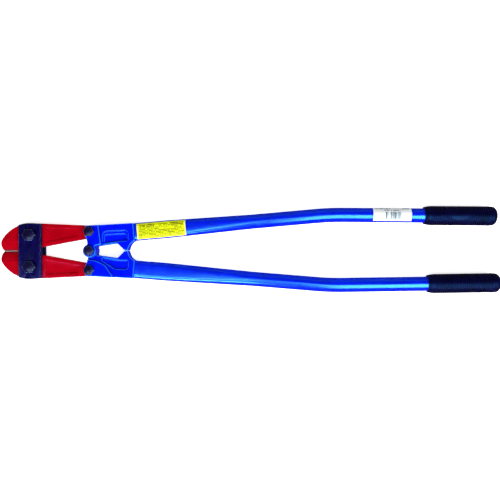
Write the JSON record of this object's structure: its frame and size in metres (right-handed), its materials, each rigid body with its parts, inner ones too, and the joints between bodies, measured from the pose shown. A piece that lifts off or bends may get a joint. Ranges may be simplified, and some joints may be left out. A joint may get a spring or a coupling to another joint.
{
  "type": "bolt cutters",
  "caption": "Long-handled bolt cutters with compound-lever jaws joined by two plates, half-lapped arm castings, bent tube handles and rubber grips.",
  "frame": {"origin": "on the tool's middle line, halfway along its length, at the level of the lowest thread ends it lies on", "axes": "+X from the jaws to the grips, +Y from the lower handle to the upper handle, +Z along the pivot bolts, out of their heads"},
  "size_m": [0.9294, 0.1642, 0.0503],
  "materials": {
    "blade_paint": "gloss red paint over forged steel, bare at the ground cutting edges",
    "plate_steel": "blue-black oxide",
    "bolt_steel": "blue-black oxide",
    "arm_paint": "gloss blue paint over a casting",
    "tube_paint": "gloss blue paint over steel tube",
    "grip_rubber": "ribbed black rubber",
    "capacity_label": "yellow film label",
    "size_label": "white film label"
  },
  "bodies": {
    "plates": {"top_plate": "plate_steel", "bottom_plate": "plate_steel", "upper_plate_bolt": "bolt_steel", "upper_plate_washer": "bolt_steel", "upper_plate_nut": "bolt_steel", "lower_plate_bolt": "bolt_steel", "lower_plate_washer": "bolt_steel", "lower_plate_nut": "bolt_steel"},
    "centre_pivot": {"centre_bolt": "bolt_steel", "centre_washer": "bolt_steel", "centre_nut": "bolt_steel"},
    "upper_handle": {"upper_arm": "arm_paint", "upper_tube": "tube_paint", "upper_cross_pin": "tube_paint", "upper_grip": "grip_rubber", "upper_outer_bolt": "bolt_steel", "upper_outer_washer": "bolt_steel", "upper_outer_nut": "bolt_steel", "capacity_label": "capacity_label", "size_label": "size_label"},
    "lower_handle": {"lower_arm": "arm_paint", "lower_tube": "tube_paint", "lower_cross_pin": "tube_paint", "lower_grip": "grip_rubber", "lower_outer_bolt": "bolt_steel", "lower_outer_washer": "bolt_steel", "lower_outer_nut": "bolt_steel"},
    "upper_jaw": {"upper_blade": "blade_paint"},
    "lower_jaw": {"lower_blade": "blade_paint"}
  },
  "joints": [
    {"name": "centre_pivot_slide", "type": "slide", "parent": "plates", "child": "centre_pivot", "axis": [1, 0, 0], "range_m": [0, 0.0305]},
    {"name": "handle_swing", "type": "hinge", "parent": "centre_pivot", "child": "upper_handle", "pos_m": [-0.2981, 0, 0.0266], "axis": [0, 0, 1], "range_deg": [0, 60]},
    {"name": "lower_handle_swing", "type": "hinge", "parent": "centre_pivot", "child": "lower_handle", "pos_m": [-0.2981, 0, 0.0266], "axis": [0, 0, 1], "range_deg": [-60, 0]},
    {"name": "upper_jaw_swing", "type": "hinge", "parent": "upper_handle", "child": "upper_jaw", "pos_m": [-0.2981, 0.0357, 0.0266], "axis": [0, 0, 1], "range_deg": [-69.3, 0]},
    {"name": "lower_jaw_swing", "type": "hinge", "parent": "lower_handle", "child": "lower_jaw", "pos_m": [-0.2981, -0.0357, 0.0266], "axis": [0, 0, 1], "range_deg": [0, 69.3]}
  ],
  "couplings": [
    {"joint": "centre_pivot_slide", "follows": "handle_swing", "m_per_rad": 0.029101},
    {"joint": "lower_handle_swing", "follows": "handle_swing", "ratio": -1},
    {"joint": "upper_jaw_swing", "follows": "handle_swing", "ratio": -1.1549},
    {"joint": "lower_jaw_swing", "follows": "handle_swing", "ratio": 1.1549}
  ]
}
